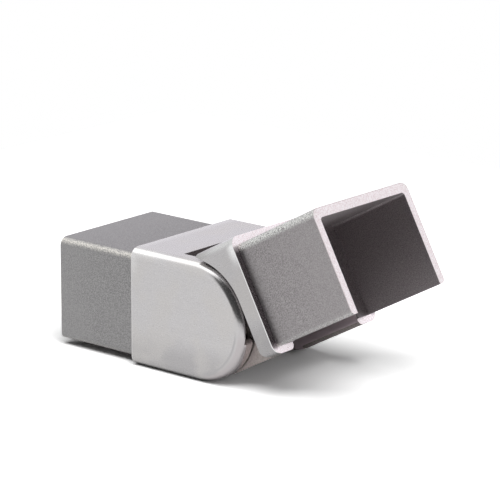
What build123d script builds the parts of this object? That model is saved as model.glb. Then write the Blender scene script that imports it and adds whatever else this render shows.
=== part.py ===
"""Adjustable connector for a slotted rectangular handrail tube.

Two cast stainless halves meet in a knuckle hinge. Each half has a spigot that slides into the end of
a rail tube, and a short body with the outline of the tube. The fixed half ends in a round nose, which
is a fork of two cheeks. The tilting half ends in a saddle that reaches over the nose, with a drum and
two lugs that turn between the cheeks. A shoulder screw on each side, put in from the glass slot below,
holds lug and cheek together.

Units are millimetres. The origin is the centre of the fixed half's rim, where the rail tube ends.
+X points towards the hinge, +Y across the rail and +Z up.
"""

import os
from math import cos, radians, sin

from build123d import *

# Rail tube that the connector joins
rail_width = 40.0
rail_height = 30.0
rail_wall = 1.5
glass_slot_width = 25.2

# Spigots
spigot_length = 25.4
spigot_side_gap = 0.2
spigot_top_gap = 0.5
spigot_side_wall = 2.1
spigot_top_wall = 2.45
spigot_top_radius = 2.2
spigot_bottom_radius = 1.3
back_wall_step = 0.6
channel_corner_radius = 0.9

# Bodies
body_length = 20.65
edge_radius = 2.6
front_wall = 3.0
top_wall = 2.6
slot_depth = 6.0
slot_edge_radius = 1.4

# Knuckle hinge
tilt = 28.75
tilt_up_limit = 45.0
cheek_thickness = 4.5
cheek_gap = 0.35
drum_gap = 0.3
drum_wall = 2.6
drum_end_angle = 124.0
top_step_angle = 119.0
lug_flat_start = 1.2
lug_corner_radius = 6.0

# Saddle
saddle_gap = 1.1
lip_tip = 7.3
saddle_corner_radius = 1.8
lip_fill_angle = 56.0

# Stop nibs on the lugs, and the notches in the cheeks that they run in
notch_skin = 1.5
notch_floor_depth = 3.4
notch_ledge_angle = 9.3
notch_ledge_radius = 1.2
nib_sweep = 18.0
nib_gap_angle = 0.8
nib_radial_gap = 0.4

# Pivot screws and their washers
thread_radius = 2.95
thread_length = 2.9
thread_gap = 0.05
thread_hole_spare = 0.2
shoulder_radius = 4.0
shoulder_gap = 0.05
washer_radius = 7.0
washer_thickness = 0.8
washer_gap = 0.05
head_radius = 6.3
head_height = 2.5
head_chamfer = 0.6
socket_across_flats = 4.0
socket_depth = 1.6

# Worked out from the sizes above
half_width = rail_width / 2
half_height = rail_height / 2
slot_half = glass_slot_width / 2
nose_radius = half_height
saddle_radius = nose_radius + saddle_gap

spigot_half_width = half_width - rail_wall - spigot_side_gap
spigot_top = half_height - rail_wall - spigot_top_gap
spigot_bottom = half_height - rail_wall - spigot_side_gap
channel_half_width = spigot_half_width - spigot_side_wall
channel_top = spigot_top - spigot_top_wall

cheek_inside = half_width - cheek_thickness
lug_outside = cheek_inside - cheek_gap
cavity_radius = nose_radius
drum_radius = cavity_radius - drum_gap
drum_inside = drum_radius - drum_wall
cavity_top = half_height - top_wall

notch_outside = half_width - notch_skin
notch_floor = nose_radius - notch_floor_depth
nib_outside = notch_outside - cheek_gap
nib_start_angle = nib_gap_angle - notch_ledge_angle
nib_end_angle = nib_start_angle + nib_sweep
notch_end_angle = nib_end_angle + tilt_up_limit + nib_gap_angle

shoulder_start = slot_half - washer_gap - washer_thickness

beyond = 2 * rail_width

# Planes: side views of both halves through the hinge axis, and sections at both rims
tilt_angle = radians(tilt)
hinge = Vector(body_length, 0, 0)
rail_direction = Vector(cos(tilt_angle), 0, sin(tilt_angle))
fixed_side = Plane(origin=hinge, x_dir=(1, 0, 0), z_dir=(0, -1, 0))
tilting_side = Plane(origin=hinge, x_dir=rail_direction, z_dir=(0, -1, 0))
fixed_rim = Plane(origin=(0, 0, 0), x_dir=(0, -1, 0), z_dir=(-1, 0, 0))
tilting_rim = Plane(origin=hinge + rail_direction * body_length, x_dir=(0, 1, 0), z_dir=rail_direction)


def polar(radius, angle):
    """Point of a side view at a radius and an angle in degrees about the hinge."""
    return (radius * cos(radians(angle)), radius * sin(radians(angle)))


def add_spigot(rim):
    """Add a channel-shaped spigot that stands on a rim, open below and at its end."""
    with BuildSketch(rim) as outline:
        with Locations((0, (spigot_top - spigot_bottom) / 2)):
            Rectangle(2 * spigot_half_width, spigot_top + spigot_bottom)
        fillet(outline.vertices().group_by(Axis.Y)[-1], spigot_top_radius)
        fillet(outline.vertices().group_by(Axis.Y)[0], spigot_bottom_radius)
    extrude(outline.sketch, amount=spigot_length)
    with BuildSketch(rim.offset(back_wall_step)) as channel:
        with Locations((0, channel_top)):
            Rectangle(2 * channel_half_width, beyond, align=(Align.CENTER, Align.MAX))
        fillet(channel.vertices().group_by(Axis.Y)[-1], channel_corner_radius)
    extrude(channel.sketch, amount=spigot_length, mode=Mode.SUBTRACT)


def cut_slot(rim):
    """Cut the slot for the glass, with round lower edges, from the rim of a body to the hinge."""
    with BuildSketch(rim.offset(back_wall_step)) as slot:
        with Locations((0, slot_depth - half_height)):
            Rectangle(2 * slot_half, beyond, align=(Align.CENTER, Align.MAX))
        with Locations((0, -half_height)):
            Rectangle(2 * (slot_half + slot_edge_radius), slot_edge_radius, align=(Align.CENTER, Align.MIN))
        edge_centre = (slot_half + slot_edge_radius, slot_edge_radius - half_height)
        with Locations(edge_centre, (-edge_centre[0], edge_centre[1])):
            Circle(slot_edge_radius, mode=Mode.SUBTRACT)
    extrude(slot.sketch, amount=-body_length, mode=Mode.SUBTRACT)


def sector(inner, outer, start, end):
    """Side view of a ring sector about the hinge, from start to end in degrees."""
    with BuildLine() as outline:
        Line(polar(inner, start), polar(outer, start))
        CenterArc((0, 0), outer, start, end - start)
        Line(polar(outer, end), polar(inner, end))
        CenterArc((0, 0), inner, start, end - start)
    return make_face(outline.edges())


# Fixed half: rail body with a round nose, hollow between its cheeks
with BuildPart() as fixed_half:
    with BuildSketch(fixed_side):
        with BuildLine():
            Line((-body_length, half_height), (-body_length, -half_height))
            Line((-body_length, -half_height), (0, -half_height))
            CenterArc((0, 0), nose_radius, -90, 180)
            Line((0, half_height), (-body_length, half_height))
        make_face()
    extrude(amount=half_width, both=True)
    fillet(fixed_half.faces().filter_by(Axis.Y).edges().sort_by(Axis.X)[2:], edge_radius)
    add_spigot(fixed_rim)
    with BuildSketch(fixed_side):
        Circle(cavity_radius)
        with Locations((polar(nose_radius, top_step_angle)[0], 0)):
            Rectangle(beyond, beyond, align=(Align.MIN, Align.CENTER))
    extrude(amount=cheek_inside, both=True, mode=Mode.SUBTRACT)
    cut_slot(fixed_rim)
    with BuildSketch(fixed_side):
        add(sector(notch_floor, nose_radius + notch_floor_depth, -notch_ledge_angle, notch_end_angle))
    extrude(amount=notch_outside, both=True, mode=Mode.SUBTRACT)
    ledge_point = fixed_side.from_local_coords(polar(nose_radius, -notch_ledge_angle))
    ledge_corners = fixed_half.edges().filter_by(Axis.Y).sort_by_distance(ledge_point)[:2]
    fillet(ledge_corners, notch_ledge_radius)
    with BuildSketch(fixed_side):
        Circle(thread_radius + thread_gap)
    extrude(amount=cheek_inside + thread_length + thread_hole_spare, both=True, mode=Mode.SUBTRACT)
fixed_half.part.label = "fixed_half"


# Tilting half: saddle over the nose, and a drum with two lugs between the cheeks
with BuildPart() as tilting_half:
    with BuildSketch(tilting_side):
        with Locations((body_length, 0)):
            Rectangle(body_length - lip_tip, rail_height, align=(Align.MAX, Align.CENTER))
    extrude(amount=half_width, both=True)
    fillet(tilting_half.edges().filter_by(Axis(hinge, rail_direction)), edge_radius)
    with BuildSketch(tilting_side):
        with BuildLine():
            corner_end = saddle_radius + saddle_corner_radius
            corner_top = saddle_corner_radius - half_height
            CenterArc((0, 0), saddle_radius, 0, 90)
            Line((0, saddle_radius), (0, -beyond))
            Line((0, -beyond), (corner_end, -beyond))
            Line((corner_end, -beyond), (corner_end, -half_height))
            RadiusArc((corner_end, -half_height), (saddle_radius, corner_top), saddle_corner_radius)
            Line((saddle_radius, corner_top), (saddle_radius, 0))
        make_face()
    extrude(amount=half_width, both=True, mode=Mode.SUBTRACT)
    add_spigot(tilting_rim)
    with BuildSketch(tilting_side):
        with BuildLine():
            Line((body_length - front_wall, -half_height), (lug_flat_start, -half_height))
            lug_rear = lug_flat_start - lug_corner_radius
            RadiusArc((lug_flat_start, -half_height), (lug_rear, lug_corner_radius - half_height), lug_corner_radius)
            Line((lug_rear, lug_corner_radius - half_height), polar(drum_radius, drum_end_angle))
            CenterArc((0, 0), drum_radius, lip_fill_angle, drum_end_angle - lip_fill_angle)
            Line(polar(drum_radius, lip_fill_angle), polar(saddle_radius + saddle_gap, lip_fill_angle))
            Line(polar(saddle_radius + saddle_gap, lip_fill_angle), (body_length - front_wall, cavity_top))
            Line((body_length - front_wall, cavity_top), (body_length - front_wall, -half_height))
        make_face()
    extrude(amount=lug_outside, both=True)
    with BuildSketch(tilting_side):
        Circle(drum_inside)
        with Locations((0, drum_inside)):
            Rectangle(body_length - front_wall, beyond, align=(Align.MIN, Align.MAX))
        Rectangle(beyond, beyond, align=(Align.MAX, Align.MAX))
    extrude(amount=slot_half, both=True, mode=Mode.SUBTRACT)
    cut_slot(tilting_rim)
    with BuildSketch(tilting_side):
        add(sector(notch_floor + nib_radial_gap, nose_radius - nib_radial_gap, nib_start_angle, nib_end_angle))
    extrude(amount=nib_outside, both=True)
    with BuildSketch(tilting_side):
        Circle(shoulder_radius + shoulder_gap)
    extrude(amount=lug_outside, both=True, mode=Mode.SUBTRACT)
tilting_half.part.label = "tilting_half"


def screw_plane(side):
    """Half section of a pivot screw: local X is its radius, local Y runs outwards along the hinge axis."""
    return Plane(origin=hinge, x_dir=(side, 0, 0), z_dir=(0, 0, 1))


# Shoulder screws: the thread sits in the cheek, the lug turns on the shoulder
pivot_screws = {}
for name, side in (("near_pivot_screw", -1), ("far_pivot_screw", 1)):
    with BuildPart() as screw:
        with BuildSketch(screw_plane(side)) as section:
            with Locations((0, cheek_inside)):
                Rectangle(thread_radius, thread_length, align=(Align.MIN, Align.MIN))
            with Locations((0, shoulder_start)):
                Rectangle(shoulder_radius, cheek_inside - shoulder_start, align=(Align.MIN, Align.MIN))
            with Locations((0, shoulder_start)):
                Rectangle(head_radius, head_height, align=(Align.MIN, Align.MAX))
        revolve(section.sketch, axis=Axis(hinge, (0, 1, 0)))
        inner_faces = screw.faces().filter_by(Axis.Y).sort_by(Axis.Y)
        head_face = inner_faces[-1] if side < 0 else inner_faces[0]
        chamfer(head_face.edges(), head_chamfer)
        with BuildSketch(Plane(origin=head_face.center(), x_dir=(1, 0, 0), z_dir=(0, -side, 0))) as socket:
            RegularPolygon(socket_across_flats / 2, 6, major_radius=False)
        extrude(socket.sketch, amount=-socket_depth, mode=Mode.SUBTRACT)
    screw.part.label = name
    pivot_screws[name] = screw


# Washers between the screw heads and the lugs
pivot_washers = {}
for name, side in (("near_pivot_washer", -1), ("far_pivot_washer", 1)):
    with BuildPart() as washer:
        with BuildSketch(screw_plane(side)) as section:
            with Locations((shoulder_radius + washer_gap, shoulder_start)):
                ring_width = washer_radius - shoulder_radius - washer_gap
                Rectangle(ring_width, washer_thickness, align=(Align.MIN, Align.MIN))
        revolve(section.sketch, axis=Axis(hinge, (0, 1, 0)))
    washer.part.label = name
    pivot_washers[name] = washer


os.makedirs("parts", exist_ok=True)
export_step(fixed_half.part, "parts/fixed_half.step")
export_step(tilting_half.part, "parts/tilting_half.step")
for name, piece in (pivot_screws | pivot_washers).items():
    export_step(piece.part, f"parts/{name}.step")
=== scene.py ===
"""Looks of the adjustable handrail connector: materials, floor, light and camera.

The CAD nodes keep their shapes, and each gets a procedural material. The cast halves are painted by zone:
brushed bodies, blasted spigots with worn edges, milled end faces and as-cast knuckle parts.
"""

from math import cos, radians, sin

import bpy
from mathutils import Matrix, Vector

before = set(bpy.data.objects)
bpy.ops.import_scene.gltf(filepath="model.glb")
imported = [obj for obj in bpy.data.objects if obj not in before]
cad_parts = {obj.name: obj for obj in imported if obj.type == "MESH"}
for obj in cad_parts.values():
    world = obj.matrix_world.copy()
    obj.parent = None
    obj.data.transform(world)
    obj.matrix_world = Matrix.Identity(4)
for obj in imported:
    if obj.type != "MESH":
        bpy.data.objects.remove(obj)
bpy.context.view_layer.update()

HINGE = Vector((0.02065, 0, 0))
TILT = radians(28.75)
MM = 0.001
FLOOR_Z = -0.015

# Sizes that the zones follow, in millimetres from the hinge axis, in the half's own axes
RIM = 20.65
RIM_START, RIM_STOP = RIM - 0.04, RIM + 0.05
RIM_EDGE = 0.3
SPIGOT_END = 46.05
SPIGOT_SIDE = 18.3
SPIGOT_TOP = 13.0
SPIGOT_BOTTOM = -13.3
SPIGOT_RADIUS = 2.2
BODY_TOP = 15.0
BODY_SIDE = 20.0
NOSE_RADIUS = 15.0
CHANNEL_SIDE = 16.2
CHANNEL_TOP = 10.55
CHANNEL_BACK = 21.25
CHEEK_INSIDE = 15.5
CAVITY_TOP = 12.5
SLOT_SIDE = 12.7
SLOT_TOP = -8.0
# How far a zone reaches past its face
TOUCH = 0.05
# How far the wear of a spigot reaches from its edges at least, and over how much it fades
WORN_REACH, WORN_FADE = 1.5, 1.4

# Noise: features a millimetre, and how much the streaks are drawn out along the rail
GRAIN_SCALE, CLOUD_SCALE, LONG_STREAK_SCALE = 3.4, 0.12, 0.5
STREAK_STRETCH, LONG_STREAK_STRETCH = (0.15, 1.0, 1.0), (0.12, 1.0, 1.0)
# Roughness of the brushed faces, and what grain, streaks and the polished edge of the nose change in it
BRUSHED_ROUGH, COARSE_MORE, STREAKS_MORE, NOSE_EDGE_LESS = 0.24, 0.24, 0.06, 0.07
# How much less metallic the worn edges and the flat tops are
WORN_MATT, FLAT_TOP_MATT = 0.7, 0.35
# Relief: depth in metres, strength on the castings, and heights of the brush lines and of the grain
RELIEF_DEPTH, CAST_RELIEF, BRUSH_HEIGHT, GRAIN_HEIGHT = 0.0001, 0.25, 0.008, 0.5


class Graph:
    """The node tree of a material or of the world, with short calls for the nodes used here."""

    def __init__(self, owner):
        self.owner = owner
        owner.use_nodes = True
        self.tree = owner.node_tree
        self.tree.nodes.clear()

    def fill(self, socket, value):
        """Give a socket a value, or link another socket to it."""
        if isinstance(value, bpy.types.NodeSocket):
            self.tree.links.new(value, socket)
        else:
            socket.default_value = value

    def add(self, kind, inputs=None, **settings):
        """A new node; inputs maps socket names or numbers to values or to sockets."""
        node = self.tree.nodes.new(kind)
        for key, value in settings.items():
            setattr(node, key, value)
        for key, value in (inputs or {}).items():
            self.fill(node.inputs[key], value)
        return node

    def math(self, operation, a, b=0.0, clamp=False):
        """Result of a Math node."""
        return self.add("ShaderNodeMath", {0: a, 1: b}, operation=operation, use_clamp=clamp).outputs[0]

    def length(self, a, b):
        """Length of the vector with the two parts."""
        squares = [self.math("MULTIPLY", value, value) for value in (a, b)]
        return self.math("SQRT", self.math("ADD", *squares))

    def ramp(self, value, low, high, out_low=0.0, out_high=1.0):
        """A value taken smoothly from the span low to high, onto the span out_low to out_high."""
        spans = {"Value": value, "From Min": low, "From Max": high, "To Min": out_low, "To Max": out_high}
        return self.add("ShaderNodeMapRange", spans, interpolation_type="SMOOTHSTEP").outputs[0]

    def above(self, value, limit):
        """1 where the value is more than the limit."""
        return self.math("GREATER_THAN", value, limit)

    def below(self, value, limit):
        """1 where the value is less than the limit."""
        return self.math("LESS_THAN", value, limit)

    def both(self, *masks):
        """Product of the masks, which is 1 where all are 1."""
        result = masks[0]
        for mask in masks[1:]:
            result = self.math("MULTIPLY", result, mask)
        return result

    def either(self, *masks):
        """Largest of the masks, which is 1 where any is 1."""
        result = masks[0]
        for mask in masks[1:]:
            result = self.math("MAXIMUM", result, mask)
        return result

    def mix(self, factor, a, b):
        """Colour a where factor is 0, and colour b where it is 1."""
        node = self.add("ShaderNodeMix", data_type="RGBA")
        for number, value in ((0, factor), (6, a), (7, b)):
            self.fill(node.inputs[number], value)
        return node.outputs[2]

    def noise(self, vector, scale, detail=2.0, roughness=0.5):
        """A noise value from 0 to 1, with scale in features a millimetre of the vector."""
        settings = {"Vector": vector, "Scale": scale, "Detail": detail, "Roughness": roughness}
        return self.add("ShaderNodeTexNoise", settings).outputs[0]

    def scaled(self, vector, factors):
        """The vector with each coordinate multiplied."""
        return self.add("ShaderNodeVectorMath", {0: vector, 1: factors}, operation="MULTIPLY").outputs[0]

    def split(self, vector):
        """The three coordinates of a vector."""
        return self.add("ShaderNodeSeparateXYZ", {0: vector}).outputs

    def millimetres(self, rotation=(0, 0, 0)):
        """Place in millimetres from the hinge axis, in axes that rotation turns onto the frame's."""
        place = self.add("ShaderNodeTexCoord").outputs["Object"]
        turned = {"Vector": place, "Location": HINGE, "Rotation": rotation, "Scale": (MM, MM, MM)}
        return self.add("ShaderNodeMapping", turned, vector_type="TEXTURE").outputs[0]

    def light_path(self):
        """Masks of the camera's rays, and of those that gloss or glass sent on before any matt surface."""
        path = self.add("ShaderNodeLightPath").outputs
        mirrored = self.either(path["Is Glossy Ray"], path["Is Transmission Ray"])
        return path["Is Camera Ray"], self.both(mirrored, self.below(path["Diffuse Depth"], 0.5))

    def bump(self, strength, height):
        """A normal with that relief."""
        relief = {"Strength": strength, "Distance": RELIEF_DEPTH, "Height": height}
        return self.add("ShaderNodeBump", relief).outputs[0]

    def metal(self, base, metallic, rough, normal):
        """Link a metal surface to the output."""
        surface = {"Base Color": base, "Metallic": metallic, "Roughness": rough, "Normal": normal}
        return self.end(self.add("ShaderNodeBsdfPrincipled", surface).outputs[0])

    def end(self, shader, output="ShaderNodeOutputMaterial"):
        """Link the shader to the output."""
        self.add(output, {"Surface": shader})
        return self.owner


def colour(red, green, blue):
    """A colour from display levels, 0 to 255."""

    def linear(value):
        value = min(max(value / 255, 0), 1)
        return value / 12.92 if value <= 0.04045 else ((value + 0.055) / 1.055) ** 2.4

    return (linear(red), linear(green), linear(blue), 1.0)


def grey(level):
    """A grey of that display level."""
    return colour(level, level, level)


def plain_grey(value):
    """A grey of that linear value."""
    return (value, value, value, 1)


def steel(level):
    """Brushed stainless steel of that display level, a touch redder and less green than grey."""
    return colour(level + 1, level - 1, level)


# Colours of the zones, a pair where the grain goes from the one to the other
ROUGH_CAST = colour(142, 135, 132), colour(180, 172, 169)
MILLED = colour(231, 219, 218), colour(255, 253, 252)
# Painted shade inside the spigot's hollow, where little light gets in
CHANNEL_SHADE = colour(138, 131, 133), colour(190, 183, 185)
END_OUTLINE = colour(170, 158, 158)
# Painted shade on the rim face beside the spigot's sides, in the corner they make
RIM_SIDE_SHADE = colour(178, 169, 173)
# Painted light: the slot's walls are lighter than the as-cast parts, making up for the shadowed floor they
# reflect
SLOT_WALL_LIT = colour(210, 195, 201)
# Painted shade on the top of the drum, deep in the gap under the saddle
DRUM_TOP_SHADE = colour(84, 77, 77)
# Nose: painted light on its lower rounding and front, and painted shade on its upper part
NOSE_ROUNDING_LIT = colour(192, 187, 188)
NOSE_FRONT_LIT = colour(236, 228, 230)
NOSE_SHADE = colour(120, 115, 116)
# Painted highlight on the body's edges
EDGE_HIGHLIGHT = grey(240)


class Casting(Graph):
    """Material of one cast half, by zones in its own axes: x along its rail, y across and z up."""

    def __init__(self, owner, rotation, wear_and_sheen):
        super().__init__(owner)
        self.wear_and_sheen = wear_and_sheen
        self.local = self.millimetres(rotation)
        self.along, across, self.up = self.split(self.local)
        self.side = self.math("ABSOLUTE", across)
        self.radius = self.length(self.along, self.up)

        # Grain of the blasted and as-cast skin, clouds, and fine lines of the brushed faces along the rail
        self.grain = self.noise(self.local, GRAIN_SCALE, 3.0, 0.7)
        self.cloud = self.noise(self.local, CLOUD_SCALE)
        self.streaks = self.noise(self.scaled(self.local, STREAK_STRETCH), GRAIN_SCALE, 3.0, 0.75)
        self.long_streaks = self.noise(self.scaled(self.local, LONG_STREAK_STRETCH), LONG_STREAK_SCALE, 3.0)

        # Main zones
        self.spigot = self.above(self.along, RIM_STOP)
        self.body = self.below(self.along, RIM_START)
        in_nose = self.below(self.radius, NOSE_RADIUS + TOUCH)
        knuckle = self.either(self.below(self.up, CAVITY_TOP), in_nose)
        self.as_cast = self.both(self.below(self.side, CHEEK_INSIDE + 0.1), self.body, knuckle)
        # Painted shade on the top of the drum, in the gap
        self.drum_top_shade = self.both(self.as_cast, in_nose, self.above(self.up, 0.0))
        self.worn = self.worn_edges()

    def grained(self, dark, pale):
        """A colour that the grain takes from dark to pale."""
        return self.mix(self.ramp(self.grain, 0.3, 0.7), dark, pale)

    def worn_edges(self):
        """Mask of the spigot's worn long edges."""
        reach = WORN_REACH + self.wear_and_sheen
        inner_side, inner_top = SPIGOT_SIDE - reach, SPIGOT_TOP - reach
        edge_side = self.ramp(self.side, inner_side, inner_side + WORN_FADE)
        edge_top = self.ramp(self.up, inner_top, inner_top + WORN_FADE)
        edge_low = self.ramp(self.up, SPIGOT_BOTTOM + 1.0, SPIGOT_BOTTOM + 0.2, 0.0, 0.5)
        speckle = self.ramp(self.grain, 0.38, 0.56)
        worn = self.both(self.spigot, edge_side, self.either(edge_top, edge_low), speckle)
        return self.math("MULTIPLY", worn, min(self.wear_and_sheen + 0.4, 1.0))

    def blasted(self, level, warmth):
        """Colour of the spigot, with display level and warmth in levels."""

        def blasted_steel(offset):
            shade = level + offset
            return colour(shade + warmth, shade - warmth, shade - warmth / 2)

        base = self.grained(blasted_steel(-26), blasted_steel(26))
        base = self.mix(self.ramp(self.cloud, 0.3, 0.7, 0.0, 0.25), base, blasted_steel(8))
        base = self.mix(self.ramp(self.along, RIM + 6, SPIGOT_END, 0.0, 0.35), base, blasted_steel(18))
        return self.mix(self.worn, base, colour(248, 241 + 9 * self.wear_and_sheen, 228 + 20 * self.wear_and_sheen))

    def brushed(self, level):
        """Colour of the body: streaks, painted shade at the foot, faint warm clouds, painted edge
        highlights and the nose.
        """
        base = self.mix(self.ramp(self.streaks, 0.3, 0.7), steel(level - 6), steel(level + 6))
        base = self.mix(self.ramp(self.grain, 0.35, 0.65, 0.0, 0.2), base, steel(level - 8))
        base = self.mix(self.ramp(self.long_streaks, 0.35, 0.65, 0.0, 0.6), base, steel(level + 2))
        # Painted shade, darker towards the foot of the body
        base = self.mix(self.ramp(self.up, -4.0, -11.0, 0.0, 0.8), base, steel(level - 26))
        warm = colour(level + 2, level - 1, level - 3)
        base = self.mix(self.ramp(self.cloud, 0.4, 0.65, 0.0, 0.6), base, warm)
        # Painted highlight on the body's edges, scaled by the half's setting for worn edges and sheen
        base = self.mix(self.both(self.edge_highlights(), self.wear_and_sheen), base, EDGE_HIGHLIGHT)
        return self.on_nose(base, level)

    def edge_highlights(self):
        """Mask of the body's edges that get a painted highlight."""
        outside_nose = self.above(self.radius, NOSE_RADIUS)
        rim_edge = self.both(self.above(self.along, RIM - RIM_EDGE), self.body, outside_nose)
        corner = self.both(self.ramp(self.along, RIM - 3.0, RIM - 0.5), self.ramp(self.up, 7.0, 12.0))
        saddle_edge = self.both(
            self.ramp(self.up, 12.8, 14.0),
            self.ramp(self.side, 17.4, 18.2),
            self.ramp(self.along, 7.0, 16.0, 0.15, 1.0),
        )
        return self.either(rim_edge, self.either(corner, saddle_edge))

    def on_nose(self, base, level):
        """The colour base with the nose's edge, rounded from the body's side to 17.4 mm on its front.

        It has a painted highlight below, a fine line of painted shade where it meets the side, and painted
        shade above.
        """
        # Painted light on the lower nose, standing in for the lit floor it reflects
        low = self.both(self.ramp(self.along, -1.0, -4.0), self.ramp(self.up, 1.0, -3.0))
        line = self.both(low, self.ramp(self.side, BODY_SIDE, 19.98), self.ramp(self.side, 19.85, 19.95))
        base = self.mix(self.both(low, self.ramp(self.side, 19.95, 19.6)), base, NOSE_ROUNDING_LIT)
        base = self.mix(self.both(low, self.ramp(self.side, 18.3, 17.8)), base, NOSE_FRONT_LIT)
        # Painted shade on the upper nose, standing in for the dark gap and saddle it reflects
        high = self.both(
            self.ramp(self.along, -2.0, -5.0),
            self.ramp(self.up, -1.0, 2.0),
            self.ramp(self.up, 13.5, 10.5),
            self.ramp(self.side, 19.9, 18.6, 0.0, 0.75),
        )
        base = self.mix(high, base, NOSE_SHADE)
        # Painted shade line where the nose's rounding meets the flat side
        return self.mix(line, base, steel(level - 18))

    def end_outline(self):
        """Mask of the outer edge of the end face, which has rounded corners."""
        beyond = [
            self.math("MAXIMUM", self.math("SUBTRACT", value, limit - SPIGOT_RADIUS), 0.0)
            for value, limit in ((self.side, SPIGOT_SIDE), (self.up, SPIGOT_TOP))
        ]
        return self.above(self.length(*beyond), SPIGOT_RADIUS - 0.15)

    def painted(self, brushed, blasted):
        """Colour of the whole casting, zone by zone."""
        # Painted light on the slot's walls
        slot_wall_lit = self.both(self.as_cast, self.below(self.side, SLOT_SIDE), self.below(self.up, SLOT_TOP))
        # Painted shade: the inside of the spigot's hollow is darkened
        channel_shade = self.both(
            self.above(self.along, CHANNEL_BACK - 0.1),
            self.below(self.side, CHANNEL_SIDE + TOUCH),
            self.below(self.up, CHANNEL_TOP + TOUCH),
        )
        end_face = self.above(self.along, SPIGOT_END - TOUCH)
        rim_face = self.both(self.above(self.along, RIM_START), self.below(self.along, RIM_STOP))
        # Painted shade in the corner where the rim face meets the spigot's sides
        rim_side_shade = self.both(
            rim_face,
            self.above(self.side, SPIGOT_SIDE - 0.1),
            self.ramp(self.up, -14.0, -13.0),
            self.ramp(self.up, SPIGOT_TOP, SPIGOT_TOP - 1.0),
        )
        base = self.mix(self.as_cast, brushed, self.grained(*ROUGH_CAST))
        base = self.mix(slot_wall_lit, base, SLOT_WALL_LIT)
        base = self.mix(self.drum_top_shade, base, DRUM_TOP_SHADE)
        base = self.mix(self.spigot, base, blasted)
        base = self.mix(channel_shade, base, self.grained(*CHANNEL_SHADE))
        base = self.mix(self.either(end_face, rim_face), base, self.grained(*MILLED))
        base = self.mix(self.both(end_face, self.end_outline(), 0.5), base, END_OUTLINE)
        return self.mix(rim_side_shade, base, RIM_SIDE_SHADE)

    def finished(self, base):
        """The material with that colour, and with the roughness and relief of its zones."""
        coarse = self.either(self.as_cast, self.spigot)
        round_edge = self.ramp(self.side, BODY_SIDE, BODY_SIDE - 0.1)
        nose_edge = self.both(self.ramp(self.along, -1.0, -3.0), round_edge, NOSE_EDGE_LESS)
        smooth = self.math("SUBTRACT", BRUSHED_ROUGH, nose_edge)
        rough = self.math("ADD", self.math("MULTIPLY", coarse, COARSE_MORE), smooth)
        rough = self.math("ADD", rough, self.math("MULTIPLY", self.streaks, STREAKS_MORE))

        flat_top = self.both(self.above(self.up, BODY_TOP - TOUCH), self.body)
        metallic = self.math("SUBTRACT", 1.0, self.math("MULTIPLY", self.worn, WORN_MATT))
        metallic = self.math("SUBTRACT", metallic, self.math("MULTIPLY", flat_top, FLAT_TOP_MATT))

        brush_lines = self.both(self.streaks, self.math("SUBTRACT", 1.0, coarse), BRUSH_HEIGHT)
        grain = self.both(self.grain, coarse, GRAIN_HEIGHT)
        normal = self.bump(CAST_RELIEF, self.math("ADD", brush_lines, grain))
        return self.metal(base, metallic, rough, normal)


def cast_material(name, rotation, brushed_level, blasted_level, warmth, wear_and_sheen):
    """Stainless casting of one half, with display levels of its brushed body and blasted spigot.

    Rotation turns the half's own axes, x along its rail, onto the frame's. Warmth is the colour cast of the
    spigot in display levels, and wear, from 0 to 1, is how bright and broad the worn edges are and how
    strong the painted highlights on the body's edges are.
    """
    casting = Casting(bpy.data.materials.new(name), rotation, wear_and_sheen)
    painted = casting.painted(casting.brushed(brushed_level), casting.blasted(blasted_level, warmth))
    return casting.finished(painted)


def turned_material(name, level):
    """Steel of a screw or washer, turned round the hinge axis."""
    g = Graph(bpy.data.materials.new(name))
    local = g.millimetres()
    x, y, z = g.split(local)
    ring = g.add("ShaderNodeCombineXYZ", {0: g.length(x, z), 1: y}).outputs[0]
    rings = g.noise(ring, 4.0, 3.0, 0.7)
    grain = g.noise(local, 3.0, 2.0)
    base = g.mix(g.ramp(rings, 0.3, 0.7), grey(level - 10), grey(level + 10))
    base = g.mix(g.ramp(grain, 0.4, 0.8, 0.0, 0.3), base, colour(level - 23, level - 25, level - 27))
    return g.metal(base, 1.0, g.ramp(rings, 0.2, 0.8, 0.3, 0.42), g.bump(0.2, rings))


def dress(node, material):
    """Give a CAD node a material."""
    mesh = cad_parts[node].data
    mesh.materials.clear()
    mesh.materials.append(material)


FIXED_TURN, TILTING_TURN = (0, 0, radians(180)), (0, -TILT, 0)
fixed_steel = cast_material("cast_fixed", FIXED_TURN, 200, 151, warmth=0.6, wear_and_sheen=0.3)
tilting_steel = cast_material("cast_tilting", TILTING_TURN, 185, 155, warmth=2, wear_and_sheen=0.9)
screw_steel = turned_material("screw_steel", 186)
washer_steel = turned_material("washer_steel", 198)
dress("fixed_half", fixed_steel)
dress("tilting_half", tilting_steel)
for node_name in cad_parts:
    if node_name.endswith("_screw"):
        dress(node_name, screw_steel)
    if node_name.endswith("_washer"):
        dress(node_name, washer_steel)


# Floor: white to the camera and in reflections, with the part's shadow, and clear from below
FLOOR_SIZE = 0.42
FLOOR_CAMERA, FLOOR_REFLECTED, FLOOR_PLAIN = 1.65, 1.04, 0.4
floor_graph = Graph(bpy.data.materials.new("pale_floor"))
to_camera, reflected = floor_graph.light_path()
floor_colour = floor_graph.mix(reflected, plain_grey(FLOOR_PLAIN), plain_grey(FLOOR_REFLECTED))
floor_colour = floor_graph.mix(to_camera, floor_colour, plain_grey(FLOOR_CAMERA))
floor_top = floor_graph.add("ShaderNodeBsdfDiffuse", {"Color": floor_colour}).outputs[0]
from_below = floor_graph.add("ShaderNodeNewGeometry").outputs["Backfacing"]
clear = floor_graph.add("ShaderNodeBsdfTransparent").outputs[0]
floor_shader = floor_graph.add("ShaderNodeMixShader", {0: from_below, 1: floor_top, 2: clear}).outputs[0]
bpy.ops.mesh.primitive_plane_add(size=FLOOR_SIZE, location=(HINGE.x, 0, FLOOR_Z))
floor = bpy.context.object
floor.name = "floor"
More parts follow.
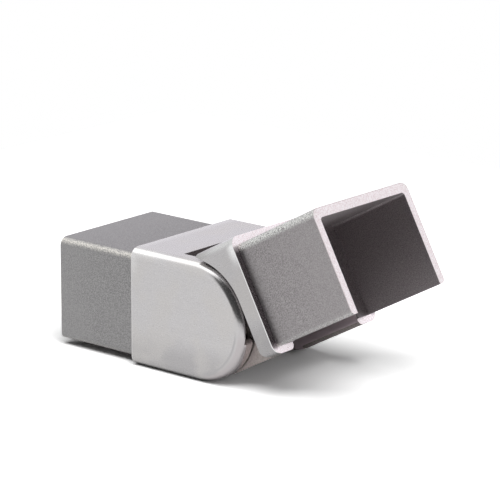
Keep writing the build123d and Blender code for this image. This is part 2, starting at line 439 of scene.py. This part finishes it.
floor.data.materials.append(floor_graph.end(floor_shader))


# World: white to the camera, a studio with dark sides in reflections, and else a soft fill from the right
WORLD_FILL = 0.9
REAR_TINT = (0.94, 0.91, 0.965, 1)
world = bpy.data.worlds.new("studio")
bpy.context.scene.world = world
w = Graph(world)
direction = w.add("ShaderNodeTexCoord").outputs["Generated"]
east, north, height = w.split(direction)
flat = w.math("SQRT", w.math("SUBTRACT", 1.0, w.math("MULTIPLY", height, height), clamp=True))
flat = w.math("MAXIMUM", flat, 0.001)


def card(azimuth, half_width, low, high, soft, strength):
    """A card in the studio, of that strength, which fades over soft degrees round its edge.

    Azimuth is 0 at the front and 90 at the right. Low and high are degrees above the horizon.
    """
    half_soft = soft / 2
    middle = (sin(radians(azimuth)), -cos(radians(azimuth)), 0)
    product = w.add("ShaderNodeVectorMath", {0: direction, 1: middle}, operation="DOT_PRODUCT")
    towards = w.math("DIVIDE", product.outputs["Value"], flat)
    sideways = w.ramp(towards, cos(radians(half_width + half_soft)), cos(radians(half_width - half_soft)))
    over = w.ramp(height, sin(radians(low - half_soft)), sin(radians(low + half_soft)))
    under = w.ramp(height, sin(radians(high + half_soft)), sin(radians(high - half_soft)))
    return w.both(sideways, over, under, strength)


front_dark = card(44, 62, -60, 56, soft=8, strength=0.92)
left_dark = card(-92, 34, -60, 30, soft=16, strength=0.3)
high_bright = card(-55, 52, 40, 64, soft=8, strength=1.15)
rear_bright = card(143, 30, -5, 45, soft=16, strength=0.12)
studio = w.math("SUBTRACT", 1.0, w.either(front_dark, left_dark))
studio = w.math("ADD", studio, w.either(high_bright, rear_bright))
to_camera, reflected = w.light_path()
fill = w.both(w.ramp(east, 0.3, 0.9), w.ramp(height, 0.05, 0.2), WORLD_FILL)
level = w.add("ShaderNodeMix", {2: fill, 3: studio, 0: reflected}, data_type="FLOAT").outputs[0]
tint = w.mix(w.both(reflected, w.ramp(north, 0.2, 0.7)), plain_grey(1), REAR_TINT)
background = w.add("ShaderNodeBackground", {"Color": tint, "Strength": w.either(level, to_camera)})
w.end(background.outputs[0], "ShaderNodeOutputWorld")


# Key light: one soft square lamp from above, which gives the shadow and isn't seen in reflections
KEY_TOWARDS = Vector((0.2, -0.28, 1.0)).normalized()
KEY_DISTANCE, KEY_SIZE, KEY_POWER = 1.0, 0.8, 10.0
lamp = bpy.data.lights.new("key_light", "AREA")
lamp.shape = "SQUARE"
lamp.size = KEY_SIZE
lamp.energy = KEY_POWER
key_light = bpy.data.objects.new("key_light", lamp)
bpy.context.scene.collection.objects.link(key_light)
key_light.location = HINGE + KEY_TOWARDS * KEY_DISTANCE
key_light.rotation_mode = "QUATERNION"
key_light.rotation_quaternion = (-KEY_TOWARDS).to_track_quat("-Z", "Y")
key_light.visible_glossy = False


# Camera at the photograph's angle
AZIMUTH, ELEVATION, ROLL = radians(39.698), radians(15.132), radians(0.225)
DISTANCE = 0.698703
AIM = Vector((0.021361, 0, 0.014188))
FOCAL_PIXELS, FRAME_PIXELS, SENSOR = 2842.905, 500, 36.0
CLIP_NEAR, CLIP_FAR = 0.01, 20
back = Vector((sin(AZIMUTH) * cos(ELEVATION), -cos(AZIMUTH) * cos(ELEVATION), sin(ELEVATION)))
level_right = Vector((cos(AZIMUTH), sin(AZIMUTH), 0))
level_up = back.cross(level_right)
right = level_right * cos(ROLL) + level_up * sin(ROLL)
upward = level_up * cos(ROLL) - level_right * sin(ROLL)
camera_data = bpy.data.cameras.new("camera")
camera_data.sensor_width = SENSOR
camera_data.lens = FOCAL_PIXELS / FRAME_PIXELS * SENSOR
camera_data.clip_start, camera_data.clip_end = CLIP_NEAR, CLIP_FAR
camera = bpy.data.objects.new("camera", camera_data)
bpy.context.scene.collection.objects.link(camera)
axes = Matrix((right, upward, back)).transposed().to_4x4()
camera.matrix_world = Matrix.Translation(AIM + back * DISTANCE) @ axes
bpy.context.scene.camera = camera

bpy.context.scene.view_settings.view_transform = "Standard"
